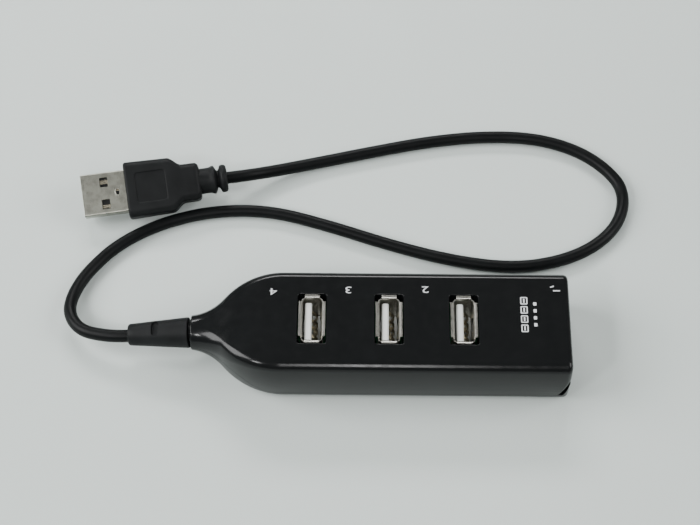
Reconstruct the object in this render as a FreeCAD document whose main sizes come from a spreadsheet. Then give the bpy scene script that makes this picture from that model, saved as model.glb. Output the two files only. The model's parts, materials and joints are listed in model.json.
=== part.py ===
import FreeCAD, Part
import Sketcher
import math
import os
from FreeCAD import Placement, Rotation, Vector

# A four-socket USB hub with a captive cord and a type A plug.
# Frame: +Z up, +X towards the end socket, +Y to the side that the cord passes on.
# The origin is on the base, under the middle of the housing to within half a
# millimetre. Sizes are in mm.

SIZES = [
    # housing
    ("housing_length", 101.3, "neck end to end wall"),
    ("neck_reach", 50.6, "origin to the neck's end"),
    ("housing_width", 30.9, "side to side"),
    ("housing_height", 17.4, "base to top"),
    ("housing_wall", 1.7, "wall of both shells"),
    ("edge_radius", 2.6, "long edges of the shells"),
    ("side_bulge", 45.0, "radius of the slightly rounded sides, seen from the end"),
    ("end_radius", 1.4, "rounding round the end wall"),
    ("neck_diameter", 9.2, "round neck at the cord end"),
    ("neck_angle", 6.0, "flare of the neck at its end, degrees"),
    ("shoulder_angle", 45.0, "steepest flare of the shoulder, degrees"),
    ("flare_radius", 14.5, "hollow curve between neck and shoulder"),
    ("neck_bore", 4.8, "hole that the strain relief's waist sits in"),
    ("neck_collar", 3.0, "length of that hole"),
    ("parting_height", 3.2, "joint line of the two shells along the sides"),
    ("arch_set_back", 2.2, "upper shell's end edge at the joint line, back from the end"),
    ("arch_top", 16.2, "height where that edge reaches the end"),
    ("rim_height", 1.0, "locating rim inside the joint line"),
    ("rim_thickness", 0.8, "thickness of that rim"),
    ("rim_set_in", 0.65, "rim inside the widest part of the side walls"),
    ("boss_diameter", 5.2, "screw bosses"),
    ("boss_hole", 2.3, "hole in the upper bosses"),
    ("head_recess", 4.8, "counterbore for a screw head"),
    ("head_recess_depth", 1.9, "depth of that counterbore"),
    ("neck_screw_x", -29.0, "screw nearer the neck"),
    ("end_screw_x", 31.0, "screw nearer the end"),
    ("window_short", 7.7, "socket window, across the socket"),
    ("window_long", 14.9, "socket window, along the socket"),
    ("window_radius", 0.7, "corner of a socket window"),
    ("window_skirt", 0.9, "rib round each window inside the top"),
    # sockets
    ("socket_4_x", -18.0, "socket nearest the neck"),
    ("socket_3_x", 2.5, "middle socket"),
    ("socket_2_x", 22.4, "third socket"),
    ("opening_short", 5.12, "type A socket opening, height"),
    ("opening_long", 12.5, "type A socket opening, width"),
    ("sheet_metal", 0.3, "socket and plug shells"),
    ("socket_corner", 0.7, "inner corner of a socket shell"),
    ("flange_short", 7.1, "outside of the flared mouth, height"),
    ("flange_long", 14.5, "outside of the flared mouth, width"),
    ("flare_bend", 0.7, "outer radius of the flared mouth"),
    ("mouth_recess", 0.1, "top sockets' mouth below the housing's top"),
    ("mouth_stand", 0.7, "end socket's mouth outside the end wall"),
    ("end_socket_depth", 14.0, "end socket, mouth to back"),
    ("socket_base", 2.8, "insulator behind the tongue"),
    ("tongue_thickness", 1.84, "insulator tongue"),
    ("tongue_width", 11.1, "insulator tongue"),
    ("tongue_recess", 1.6, "mouth to the tip of the tongue"),
    ("tongue_gap", 0.65, "tongue to the near wall"),
    ("groove_width", 1.4, "groove that a spring bends into"),
    ("groove_depth", 1.0, "groove that a spring bends into"),
    ("spring_width", 1.0, "contact spring"),
    ("spring_thickness", 0.25, "contact spring"),
    ("spring_bow", 1.6, "crest of a spring from the tongue's face"),
    ("tail_width", 0.6, "fixed contact tail"),
    # circuit board
    ("board_length", 80.2, "circuit board"),
    ("board_width", 24.6, "circuit board"),
    ("board_thickness", 1.2, "circuit board"),
    ("board_bottom", 3.4, "underside of the board above the base"),
    ("board_end_x", 48.2, "end of the board behind the end wall"),
    ("chip_length", 9.9, "hub controller package"),
    ("chip_width", 3.9, "hub controller package"),
    ("chip_height", 1.5, "hub controller package"),
    ("crystal_length", 10.2, "crystal can"),
    ("crystal_width", 3.8, "crystal can"),
    ("crystal_height", 3.5, "crystal can"),
    ("capacitor_diameter", 5.0, "electrolytic capacitor"),
    ("capacitor_height", 7.0, "electrolytic capacitor"),
    ("screw_diameter", 2.2, "self-tapping screw"),
    ("screw_length", 8.0, "self-tapping screw under its head"),
    ("screw_head", 4.2, "self-tapping screw's head"),
    ("screw_head_height", 1.4, "self-tapping screw's head"),
    ("wire_diameter", 1.1, "insulated wire"),
    # cord, strain relief and plug
    ("cord_diameter", 3.5, "cord"),
    ("boot_length", 16.6, "strain relief outside the neck"),
    ("boot_large", 8.4, "strain relief at the neck"),
    ("boot_small", 5.8, "strain relief at the cord"),
    ("boot_gap", 0.5, "ring gap between neck and strain relief"),
    ("boot_droop", 5.5, "strain relief's fall below the neck's axis, degrees"),
    ("boot_flange", 5.9, "flange behind the neck's collar"),
    ("boot_slot_wide", 4.6, "slot across the strain relief"),
    ("boot_slot_long", 2.0, "slot across the strain relief, along it"),
    ("boot_slot_place", 9.2, "neck end of the strain relief to that slot"),
    ("plug_width", 12.0, "plug shell"),
    ("plug_height", 4.5, "plug shell"),
    ("plug_reach", 12.4, "plug shell in front of the overmould"),
    ("plug_corner", 0.5, "corners of the plug shell"),
    ("latch_place", 5.95, "overmould's face to the middle of the latch holes"),
    ("latch_pitch", 6.3, "latch holes, middle to middle"),
    ("latch_long", 2.2, "latch hole along the plug"),
    ("latch_wide", 2.65, "latch hole across the plug"),
    ("grip_width", 16.0, "overmould at its face"),
    ("grip_taper", 0.35, "overmould's narrowing to its shoulders, each side"),
    ("grip_height", 8.0, "overmould"),
    ("grip_length", 21.2, "overmould without its ribbed tail"),
    ("grip_waist", 10.4, "overmould behind its shoulders"),
    ("rib_diameter", 8.1, "ribs of the overmould's tail"),
    ("panel_start", 3.0, "overmould's face to its sunk square panel"),
    ("panel_width", 8.4, "sunk square panel"),
    ("panel_depth", 0.3, "sunk square panel"),
    ("plug_roll", 25.0, "plug leans on its near lower edge, degrees"),
    ("plug_yaw", 9.8, "plug's heading from the X axis, degrees"),
]

PIN_PITCHES = (-3.5, -1.0, 1.0, 3.5)

os.makedirs("parts", exist_ok=True)
doc = FreeCAD.newDocument("usb_hub")
sheet = doc.addObject("Spreadsheet::Sheet", "Sizes")
for row, (alias, value, note) in enumerate(SIZES, start=1):
    sheet.set("A%d" % row, note)
    sheet.set("B%d" % row, str(value))
    sheet.setAlias("B%d" % row, alias)
doc.recompute()


def size(alias):
    """A driving dimension as a number."""
    return float(getattr(sheet, alias))


def cell(alias):
    """The same dimension as an expression."""
    return "Sizes." + alias


X_AXIS = Vector(1, 0, 0)
Y_AXIS = Vector(0, 1, 0)
Z_AXIS = Vector(0, 0, 1)
NODES = []

neck_x = -size("neck_reach")
end_x = neck_x + size("housing_length")
mid_z = size("housing_height") / 2
board_top = size("board_bottom") + size("board_thickness")
mouth_z = size("housing_height") - size("mouth_recess")
top_socket_depth = mouth_z - board_top
end_mouth_x = end_x + size("mouth_stand")
shell_short = size("opening_short") + 2 * size("sheet_metal")
shell_long = size("opening_long") + 2 * size("sheet_metal")
end_socket_z = board_top + shell_short / 2


# ---------------------------------------------------------------- helpers

def keep(obj, label):
    """Give a finished sub-part its file name."""
    obj.Label = label
    NODES.append(obj)
    return obj


def feature(label, shape, placement=None):
    """A sub-part whose shape is made by Part's own functions."""
    obj = doc.addObject("Part::Feature", "shape_" + label)
    obj.Shape = shape
    if placement is not None:
        obj.Placement = placement
    return keep(obj, label)


def bind(obj, **sizes):
    """Set each property from an expression or a plain number."""
    for name, value in sizes.items():
        if isinstance(value, str):
            obj.setExpression(name, value)
        else:
            setattr(obj, name, value)
    return obj


def box(name, length, width, height, corner):
    """A Part::Box with its low corner at a point."""
    obj = doc.addObject("Part::Box", name)
    bind(obj, Length=length, Width=width, Height=height)
    obj.Placement = Placement(corner, Rotation())
    return obj


def cylinder(name, radius, height, base, direction=Z_AXIS):
    """A Part::Cylinder standing on a point."""
    obj = doc.addObject("Part::Cylinder", name)
    bind(obj, Radius=radius, Height=height)
    obj.Placement = Placement(base, Rotation(Z_AXIS, direction))
    return obj


def cone(name, first_radius, second_radius, height, base, direction=Z_AXIS):
    """A Part::Cone standing on a point."""
    obj = doc.addObject("Part::Cone", name)
    bind(obj, Radius1=first_radius, Radius2=second_radius, Height=height)
    obj.Placement = Placement(base, Rotation(Z_AXIS, direction))
    return obj


def fuse(name, pieces):
    obj = doc.addObject("Part::MultiFuse", name)
    obj.Shapes = pieces
    return obj


def cut(name, base, tool):
    obj = doc.addObject("Part::Cut", name)
    obj.Base = base
    obj.Tool = tool
    return obj


def group(name, pieces):
    obj = doc.addObject("Part::Compound", name)
    obj.Links = pieces
    return obj


def solid_box(x_low, x_high, y_low, y_high, z_low, z_high):
    """A plain box shape between two corners."""
    corner = Vector(x_low, y_low, z_low)
    return Part.makeBox(x_high - x_low, y_high - y_low, z_high - z_low, corner)


def rounded_rectangle(half_a, half_b, radius, to_point):
    """A closed wire of four lines and four arcs, counted round the centre."""
    corners = [(1, 1), (-1, 1), (-1, -1), (1, -1)]
    edges = []
    for index, (sign_a, sign_b) in enumerate(corners):
        centre_a = sign_a * (half_a - radius)
        centre_b = sign_b * (half_b - radius)
        start = math.radians(90 * index)
        points = []
        for step in (0, 45, 90):
            angle = start + math.radians(step)
            points.append(to_point(centre_a + radius * math.cos(angle),
                                   centre_b + radius * math.sin(angle)))
        edges.append(Part.Arc(*points).toShape())
        next_a, next_b = corners[(index + 1) % 4]
        angle = start + math.radians(90)
        far_end = to_point(next_a * (half_a - radius) + radius * math.cos(angle),
                           next_b * (half_b - radius) + radius * math.sin(angle))
        if (far_end - points[2]).Length > 1e-6:
            edges.append(Part.LineSegment(points[2], far_end).toShape())
    return Part.Wire(edges)


def barrel_outline(half_a, half_b, corner, bulge, to_point):
    """A closed wire with flat top and bottom, round corners and bulging sides."""
    turn = math.asin((half_b - corner) / (bulge - corner))
    quarter = math.pi / 2
    middle_a = half_a - bulge
    corner_a = middle_a + (bulge - corner) * math.cos(turn)
    corner_b = half_b - corner
    arcs = ((corner_a, -corner_b, corner, -quarter, -turn),
            (middle_a, 0.0, bulge, -turn, turn),
            (corner_a, corner_b, corner, turn, quarter))
    edges = []
    for sign in (1, -1):
        for a, b, radius, start, stop in arcs:
            points = []
            for angle in (start, (start + stop) / 2, stop):
                points.append(to_point(sign * (a + radius * math.cos(angle)),
                                       sign * (b + radius * math.sin(angle))))
            edges.append(Part.Arc(*points).toShape())
        across = to_point(-sign * corner_a, sign * half_b)
        edges.append(Part.LineSegment(points[2], across).toShape())
    return Part.Wire(edges)


def prism_xz(points, width, middle_y=0.0):
    """A closed outline in the XZ plane, extruded evenly to both sides of a Y."""
    ring = [Vector(x, middle_y - width / 2, z) for x, z in points]
    face = Part.Face(Part.makePolygon(ring + [ring[0]]))
    return face.extrude(Vector(0, width, 0))


def rounded_path(points):
    """Straight runs joined by tangent arcs, as large as the runs allow."""
    edges = []
    radii = []
    last = points[0]
    for before, corner, after in zip(points, points[1:], points[2:]):
        inward = (corner - before).normalize()
        outward = (after - corner).normalize()
        half_turn = inward.getAngle(outward) / 2
        shorter = min((corner - before).Length, (after - corner).Length)
        setback = 0.45 * shorter
        radius = setback / math.tan(half_turn)
        first = corner - inward * setback
        final = corner + outward * setback
        to_centre = (outward - inward).normalize()
        sagitta = radius / math.cos(half_turn) - radius
        edges.append(Part.LineSegment(last, first).toShape())
        edges.append(Part.Arc(first, corner + to_centre * sagitta, final).toShape())
        radii.append(radius)
        last = final
    edges.append(Part.LineSegment(last, points[-1]).toShape())
    return Part.Wire(edges), radii


def tube(name, points, diameter):
    """A round solid along a rounded path, with its volume checked."""
    path, radii = rounded_path(points)
    circle = Part.makeCircle(diameter / 2, points[0], points[1] - points[0])
    solid = path.makePipeShell([Part.Wire(circle)], True, False)
    expected = math.pi * diameter ** 2 / 4 * path.Length
    print(name, "length %.1f" % path.Length,
          "volume ratio %.4f" % (solid.Volume / expected),
          "radii", " ".join("%.1f" % radius for radius in radii))
    if abs(solid.Volume / expected - 1) > 0.01:
        raise RuntimeError(name + " has the wrong volume")
    return solid


# ---------------------------------------------------------------- housing

class HousingForm:
    """Half width, half height and edge radius of the housing along X."""

    def __init__(self):
        self.neck_half = size("neck_diameter") / 2
        self.rise = size("housing_width") / 2 - self.neck_half
        self.start_angle = math.radians(size("neck_angle"))
        self.steep_angle = math.radians(size("shoulder_angle"))
        flare = size("flare_radius")
        self.flare_rise = flare * (math.cos(self.start_angle) - math.cos(self.steep_angle))
        self.flare_run = flare * (math.sin(self.steep_angle) - math.sin(self.start_angle))
        self.shoulder_radius = (self.rise - self.flare_rise) / (1 - math.cos(self.steep_angle))
        self.full_x = neck_x + self.flare_run + self.shoulder_radius * math.sin(self.steep_angle)

    def half_width(self, x):
        along = x - neck_x
        if along <= self.flare_run:
            flare = size("flare_radius")
            sine = math.sin(self.start_angle) + along / flare
            return self.neck_half + flare * (math.cos(self.start_angle) - math.sqrt(1 - sine ** 2))
        if x >= self.full_x:
            return self.neck_half + self.rise
        short = self.full_x - x
        drop = self.shoulder_radius - math.sqrt(self.shoulder_radius ** 2 - short ** 2)
        return self.neck_half + self.rise - drop

    def section(self, x, inset=0.0):
        """The housing's outline across X, drawn in by an inset."""
        half_width = self.half_width(x)
        share = (half_width - self.neck_half) / self.rise
        half_height = self.neck_half + share * (mid_z - self.neck_half)
        round_neck = 0.97 * self.neck_half
        radius = round_neck + share * (size("edge_radius") - round_neck)
        return barrel_outline(half_width - inset, half_height - inset, radius - inset,
                              size("side_bulge") - inset, lambda a, b: Vector(x, a, mid_z + b))

    def body(self, start_x, stop_x, inset=0.0, sections=9):
        """Lofted shoulder and straight barrel as one solid."""
        wires = []
        for index in range(sections):
            x = start_x + (self.full_x - start_x) * index / (sections - 1)
            wires.append(self.section(x, inset))
        shoulder = Part.makeLoft(wires, True, False)
        face = Part.Face(self.section(self.full_x, inset))
        barrel = face.extrude(Vector(stop_x - self.full_x, 0, 0))
        return shoulder, barrel


def below_joint_line():
    """The side of the joint surface that belongs to the lower shell."""
    reach = size("housing_width")
    low = size("parting_height")
    neck_side, body_side = neck_x + 8.6, neck_x + 22.6
    fall = mid_z - low
    middle = Vector((neck_side + body_side) / 2, -reach, (mid_z + low) / 2)
    bend = ((body_side - neck_side) ** 2 + fall ** 2) / (4 * fall)
    half_turn = math.asin((body_side - neck_side) / (2 * bend)) / 2
    upper_mid = Vector(neck_side + bend * math.sin(half_turn), -reach,
                       mid_z - bend * (1 - math.cos(half_turn)))
    lower_mid = Vector(body_side - bend * math.sin(half_turn), -reach,
                       low + bend * (1 - math.cos(half_turn)))
    arch_foot = Vector(end_x - size("arch_set_back"), -reach, low)
    arch_head = Vector(end_x + 0.6, -reach, size("arch_top"))
    arch_mid = Vector(end_x - 0.23 * size("arch_set_back"), -reach,
                      low + 0.46 * (size("arch_top") - low))
    start = Vector(neck_x - 3, -reach, mid_z)
    neck_point = Vector(neck_side, -reach, mid_z)
    body_point = Vector(body_side, -reach, low)
    far_right = end_x + 5
    outline = [
        Part.LineSegment(start, neck_point).toShape(),
        Part.Arc(neck_point, upper_mid, middle).toShape(),
        Part.Arc(middle, lower_mid, body_point).toShape(),
        Part.LineSegment(body_point, arch_foot).toShape(),
        Part.Arc(arch_foot, arch_mid, arch_head).toShape(),
        Part.LineSegment(arch_head, Vector(far_right, -reach, size("arch_top"))).toShape(),
        Part.LineSegment(Vector(far_right, -reach, size("arch_top")),
                         Vector(far_right, -reach, -5)).toShape(),
        Part.LineSegment(Vector(far_right, -reach, -5), Vector(neck_x - 3, -reach, -5)).toShape(),
        Part.LineSegment(Vector(neck_x - 3, -reach, -5), start).toShape(),
    ]
    return Part.Face(Part.Wire(outline)).extrude(Vector(0, 2 * reach, 0))


def window(centre, rotation, depth):
    """A socket window, cut from its mouth inwards."""
    wire = rounded_rectangle(size("window_short") / 2, size("window_long") / 2,
                             size("window_radius"), lambda a, b: Vector(a, b, 0))
    solid = Part.Face(wire).extrude(Vector(0, 0, depth))
    inwards = Placement(Vector(0, 0, 2 - depth), Rotation())
    solid.Placement = Placement(centre, rotation).multiply(inwards)
    return solid


def upright(radius, x, z_low, z_high):
    """A round upright at a screw's place."""
    return Part.makeCylinder(radius, z_high - z_low, Vector(x, 0, z_low))


def make_housings():
    form = HousingForm()
    shoulder, barrel = form.body(neck_x, end_x)
    end_edges = []
    for edge in barrel.Edges:
        box_of_edge = edge.BoundBox
        if box_of_edge.XMin > end_x - 1e-6:
            end_edges.append(edge)
    barrel = barrel.makeFillet(size("end_radius"), end_edges)
    outer = shoulder.fuse(barrel).removeSplitter()

    wall = size("housing_wall")
    cavity_start = neck_x + size("neck_collar")
    inner_shoulder, inner_barrel = form.body(cavity_start, end_x - wall, wall)
    cavity = inner_shoulder.fuse(inner_barrel)
    bore = Part.makeCylinder(size("neck_bore") / 2, size("neck_collar") + 3,
                             Vector(neck_x - 1, 0, mid_z), X_AXIS)
    shell = outer.cut(cavity).cut(bore)

    lower_side = below_joint_line()
    # The end wall inside the upper shell's skin belongs to the lower shell.
    inner_face = Part.Face(form.section(end_x, wall))
    end_wall = inner_face.extrude(Vector(-wall - 0.01, 0, 0))
    lower = shell.common(lower_side).fuse(shell.common(end_wall))
    upper = shell.cut(lower_side).cut(end_wall)

    screws = (size("neck_screw_x"), size("end_screw_x"))
    boss = size("boss_diameter") / 2
    rim_outer = size("housing_width") / 2 - wall - size("rim_set_in")
    rim_low = size("parting_height") - 0.9
    rim_high = size("parting_height") + size("rim_height")
    rim_start, rim_stop = form.full_x + 3, end_x - wall - 2
    for turn in (0, 180):
        rim = solid_box(rim_start, rim_stop, rim_outer - size("rim_thickness"), rim_outer,
                        rim_low, rim_high)
        foot = solid_box(rim_start, rim_stop, rim_outer - size("rim_thickness"), rim_outer + 0.7,
                         rim_low, size("parting_height"))
        rail = rim.fuse(foot)
        rail.rotate(Vector((rim_start + rim_stop) / 2, 0, 0), Z_AXIS, turn)
        lower = lower.fuse(rail)
    for x in screws:
        lower = lower.fuse(upright(boss, x, wall - 0.5, size("board_bottom")))
        upper = upper.fuse(upright(boss, x, board_top, size("housing_height") - wall + 0.5))
    for x in screws:
        lower = lower.cut(upright(size("boss_hole") / 2 + 0.1, x, -1, 8))
        lower = lower.cut(upright(size("head_recess") / 2, x, -1, size("head_recess_depth")))
        upper = upper.cut(upright(size("boss_hole") / 2, x, 3, 13))

    top = size("housing_height")
    skirt = size("window_skirt")
    for x in (size("socket_4_x"), size("socket_3_x"), size("socket_2_x")):
        half_a = size("window_short") / 2 + skirt
        half_b = size("window_long") / 2 + skirt
        rib = solid_box(x - half_a, x + half_a, -half_b, half_b,
                        top - wall - 2.0, top - wall + 0.4)
        upper = upper.fuse(rib)
    for x in (size("socket_4_x"), size("socket_3_x"), size("socket_2_x")):
        upper = upper.cut(window(Vector(x, 0, top), Rotation(), 8))
    lower = lower.cut(window(Vector(end_x, 0, end_socket_z), Rotation(Y_AXIS, 90), 8))
    feature("upper_housing", upper.removeSplitter())
    feature("lower_housing", lower.removeSplitter())


def make_screws():
    """Two self-tapping screws with a cross recess, driven from below."""
    screws = []
    for index, x_alias in enumerate(("neck_screw_x", "end_screw_x")):
        tag = "_%d" % index
        head_low = size("head_recess_depth") - size("screw_head_height")
        foot = Vector(size(x_alias), 0, head_low)
        top = Vector(size(x_alias), 0, size("head_recess_depth"))
        head = cone("screw_head" + tag, cell("screw_head") + " / 2 - 0.4", cell("screw_head") + " / 2",
                    cell("screw_head_height"), foot)
        shank = cylinder("screw_shank" + tag, cell("screw_diameter") + " / 2",
                         cell("screw_length") + " - 1", top)
        tip = cone("screw_tip" + tag, cell("screw_diameter") + " / 2", 0.25, 1.0,
                   top + Vector(0, 0, size("screw_length") - 1))
        screw = fuse("screw_solid" + tag, [head, shank, tip])
        slots = []
        for turn in (0, 90):
            slot = box("screw_slot%s_%d" % (tag, turn), 2.4, 0.5, 0.8, Vector())
            slot.Placement = Placement(foot, Rotation(Z_AXIS, turn)).multiply(
                Placement(Vector(-1.2, -0.25, -0.1), Rotation()))
            slots.append(slot)
        screws.append(cut("screw" + tag, screw, fuse("screw_cross" + tag, slots)))
    keep(group("screw_pair", screws), "housing_screws")


# ---------------------------------------------------------------- sockets
#
# A socket's own frame has its origin in the middle of the mouth, +w out of the
# mouth, +v along the opening and +u across it, towards the contact springs.

TAIL_U = 0.35             # inner face of a contact tail, and the springs' axis
TAIL_THICKNESS = 0.3
TAIL_BEND = 1.4           # end socket's tails turn down this far from its back
ROOT_BEAD = 0.2           # radius of the bead at a spring's root
ROOT_GAP = 0.12           # bead above the insulator's base
LEG_PROUD = 0.6           # legs and tails under the board
LEG_BACK = 8.0            # end socket's shell legs behind its mouth
LONG_LIP, SHORT_LIP = 10.4, 3.9
FINGER_WIDTH = 1.9
FINGER_SLOT = 2.6
FINGER_PITCH = 6.2
FINGER_TIP = -2.9
CONTACT_PLAY = 0.05       # insulator inside the shell


def socket_placement(number):
    """From a socket's own frame, whose origin is the middle of its mouth."""
    if number == 1:
        return Placement(Vector(end_mouth_x, 0, end_socket_z), Rotation(Y_AXIS, 90))
    return Placement(Vector(size("socket_%d_x" % number), 0, mouth_z), Rotation())


def flared_lip(reach, length):
    """A quarter bend of sheet metal that stands out from a wall at u = 0."""
    bend = size("flare_bend")
    sheet_metal = size("sheet_metal")
    inner = bend - sheet_metal
    corner = math.sqrt(0.5)
    centre_u = bend
    outline = [
        Part.Arc(Vector(0, 0, -bend), Vector(centre_u - bend * corner, 0, bend * corner - bend),
                 Vector(centre_u, 0, 0)).toShape(),
        Part.LineSegment(Vector(centre_u, 0, 0), Vector(reach, 0, 0)).toShape(),
        Part.LineSegment(Vector(reach, 0, 0), Vector(reach, 0, -sheet_metal)).toShape(),
        Part.LineSegment(Vector(reach, 0, -sheet_metal), Vector(centre_u, 0, -sheet_metal)).toShape(),
        Part.Arc(Vector(centre_u, 0, -sheet_metal),
                 Vector(centre_u - inner * corner, 0, inner * corner - bend),
                 Vector(sheet_metal, 0, -bend)).toShape(),
        Part.LineSegment(Vector(sheet_metal, 0, -bend), Vector(0, 0, -bend)).toShape(),
    ]
    lip = Part.Face(Part.Wire(outline)).extrude(Vector(0, length, 0))
    lip.translate(Vector(0, -length / 2, 0))
    return lip


def retention_finger(root):
    """A sprung finger of the shell's long wall, bulged inwards; wall face at u = 0."""
    back, front = 0.45 * root, 0.38 * root
    bulge, tip_u = 0.42, 0.05
    skin = size("sheet_metal") - 0.05
    outline = [(0, root), (bulge, back), (bulge - 0.06, front), (tip_u, FINGER_TIP),
               (tip_u - skin, FINGER_TIP), (bulge - 0.06 - skin, front), (bulge - skin, back),
               (-skin, root)]
    return prism_xz(outline, FINGER_WIDTH)


def socket_shell(depth, closed_back):
    """The sheet-metal shell of a type A socket, in its own frame."""
    sheet_metal = size("sheet_metal")
    half_short = size("opening_short") / 2
    half_long = size("opening_long") / 2
    corner = size("socket_corner")
    bend = size("flare_bend")
    outside = Part.Face(rounded_rectangle(half_short + sheet_metal, half_long + sheet_metal,
                                          corner + sheet_metal, lambda a, b: Vector(a, b, -depth)))
    inside = Part.Face(rounded_rectangle(half_short, half_long, corner,
                                         lambda a, b: Vector(a, b, -depth)))
    shell = outside.extrude(Vector(0, 0, depth - bend))
    back = sheet_metal if closed_back else 0.0
    hollow = inside.extrude(Vector(0, 0, depth))
    hollow.translate(Vector(0, 0, back))
    shell = shell.cut(hollow)

    long_lip = flared_lip((size("flange_short") - size("opening_short")) / 2, LONG_LIP)
    short_lip = flared_lip((size("flange_long") - size("opening_long")) / 2, SHORT_LIP)
    for turn, lip, offset in ((0, long_lip, half_short), (180, long_lip, half_short),
                              (90, short_lip, half_long), (270, short_lip, half_long)):
        piece = lip.copy()
        piece.translate(Vector(offset, 0, 0))
        piece.rotate(Vector(), Z_AXIS, turn)
        shell = shell.fuse(piece)

    root = -min(depth - 3.2, 9.4)
    finger = retention_finger(root)
    for turn in (0, 180):
        for y in (-FINGER_PITCH / 2, FINGER_PITCH / 2):
            slot = solid_box(-half_short - sheet_metal - 0.2, -half_short + 0.1,
                             y - FINGER_SLOT / 2, y + FINGER_SLOT / 2, root, FINGER_TIP + 0.4)
            piece = finger.copy()
            piece.translate(Vector(-half_short, y, 0))
            slot.rotate(Vector(), Z_AXIS, turn)
            piece.rotate(Vector(), Z_AXIS, turn)
            shell = shell.cut(slot).fuse(piece)
    return shell


def shell_legs(number, depth):
    """Two solder legs that go through the board."""
    sheet_metal = size("sheet_metal")
    half_long = size("opening_long") / 2
    leg_end = size("board_thickness") + LEG_PROUD
    legs = []
    for side in (-1, 1):
        near_y = side * half_long
        far_y = side * (half_long + sheet_metal)
        y_low, y_high = min(near_y, far_y), max(near_y, far_y)
        if number == 1:
            legs.append(solid_box(shell_short / 2 - 1.4, shell_short / 2 + leg_end,
                                  y_low, y_high, -LEG_BACK - 1, -LEG_BACK + 1))
        else:
            legs.append(solid_box(-1.0, 1.0, y_low, y_high, -depth - leg_end, -depth + 0.5))
    return legs


def tongue_face():
    """Height of the tongue's contact face above the socket's middle plane."""
    return -size("opening_short") / 2 + size("tongue_gap") + size("tongue_thickness")


def contact_tails(number, depth):
    """Four fixed tails from the insulator's face into the board."""
    half = size("tail_width") / 2
    top = -depth + size("socket_base")
    leg_end = size("board_thickness") + LEG_PROUD
    tails = []
    for y in PIN_PITCHES:
        if number == 1:
            turn_w = -depth + TAIL_BEND
            along = solid_box(TAIL_U, TAIL_U + TAIL_THICKNESS, y - half, y + half, turn_w, top)
            down = solid_box(TAIL_U, shell_short / 2 + leg_end, y - half, y + half,
                             turn_w, turn_w + TAIL_THICKNESS)
            tails.append(along.fuse(down).removeSplitter())
        else:
            tails.append(solid_box(TAIL_U, TAIL_U + TAIL_THICKNESS, y - half, y + half,
                                   -depth - leg_end, top))
    return tails


def insulator(depth, closed_back, tails):
    """Base block and grooved tongue, moulded in one piece."""
    back = size("sheet_metal") + CONTACT_PLAY if closed_back else 0.0
    base_top = -depth + size("socket_base")
    outline = rounded_rectangle(size("opening_short") / 2 - CONTACT_PLAY,
                                size("opening_long") / 2 - CONTACT_PLAY,
                                size("socket_corner"), lambda a, b: Vector(a, b, -depth + back))
    block = Part.Face(outline).extrude(Vector(0, 0, size("socket_base") - back))
    face_u = tongue_face()
    back_u = face_u - size("tongue_thickness")
    tip = -size("tongue_recess")
    lead = 0.35
    outline = [(back_u, base_top - 0.2), (back_u, tip - lead), (back_u + lead, tip),
               (face_u - lead, tip), (face_u, tip - lead), (face_u, base_top - 0.2)]
    solid = block.fuse(prism_xz(outline, size("tongue_width"))).removeSplitter()
    half = size("groove_width") / 2
    for y in PIN_PITCHES:
        groove = solid_box(face_u - size("groove_depth"), face_u + 0.1, y - half, y + half,
                           base_top, tip - 0.9)
        solid = solid.cut(groove)
    for tail in tails:
        solid = solid.cut(tail)
    return solid


def leaf_profile(points, thickness):
    """A curved strip seen from the side: the same smooth line twice, a thickness apart."""
    near_side = [Vector(u, 0, w) for u, w in points]
    far_side = [point - X_AXIS * thickness for point in near_side]
    near_curve = Part.BSplineCurve()
    near_curve.interpolate(near_side)
    far_curve = Part.BSplineCurve()
    far_curve.interpolate(far_side)
    edges = [near_curve.toShape(), Part.LineSegment(near_side[-1], far_side[-1]).toShape(),
             far_curve.toShape(), Part.LineSegment(far_side[0], near_side[0]).toShape()]
    return Part.Face(Part.Wire(Part.__sortEdges__(edges)))


def spring_root(depth):
    """Centre of the bead that a spring turns on, in the socket's frame."""
    return TAIL_U, -depth + size("socket_base") + ROOT_GAP + ROOT_BEAD


def contact_springs(depth):
    """Four bowed leaf springs, each rooted on a round bead over the base."""
    thick = size("spring_thickness")
    width = size("spring_width")
    root_u, root_w = spring_root(depth)
    tip_u = tongue_face() - 0.05
    tip_w = -size("tongue_recess") - 1.5
    crest_u = tongue_face() + size("spring_bow")
    reach = tip_w - root_w
    points = [(root_u + thick / 2, root_w), (root_u + 0.5 * (crest_u - root_u), root_w + 0.3 * reach),
              (crest_u, root_w + 0.6 * reach), (crest_u - 0.35, root_w + 0.76 * reach), (tip_u, tip_w)]
    profile = leaf_profile(points, thick)
    springs = []
    for y in PIN_PITCHES:
        leaf = profile.extrude(Y_AXIS * width)
        leaf.translate(Y_AXIS * (y - width / 2))
        bead = Part.makeCylinder(ROOT_BEAD, width, Vector(root_u, y - width / 2, root_w), Y_AXIS)
        springs.append(leaf.fuse(bead).removeSplitter())
    return springs


def make_sockets():
    for number in (1, 2, 3, 4):
        end_socket = number == 1
        depth = size("end_socket_depth") if end_socket else top_socket_depth
        place = socket_placement(number)
        tails = contact_tails(number, depth)
        shell = socket_shell(depth, end_socket)
        if end_socket:
            tail_opening = solid_box(2.0, 3.5, -4.8, 4.8, -depth - 1, -depth + TAIL_BEND + 1)
            shell = shell.cut(tail_opening)
        for leg in shell_legs(number, depth):
            shell = shell.fuse(leg)
        name = "port_%d_" % number
        feature(name + "shell", shell.removeSplitter(), place)
        feature(name + "insulator", insulator(depth, end_socket, tails), place)
        feature(name + "contact_springs", Part.makeCompound(contact_springs(depth)), place)
        feature(name + "contact_tails", Part.makeCompound(tails), place)
        root_u, root_w = spring_root(depth)
        pivot = place.multVec(Vector(root_u, 0, root_w))
        print("spring axis of socket", number, "x %.3f z %.3f" % (pivot.x, pivot.z))


# ---------------------------------------------------------------- circuit board

def plane_of(body, role):
    for plane in body.Origin.OriginFeatures:
        if plane.Role == role:
            return plane
    raise RuntimeError("no plane " + role)


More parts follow.
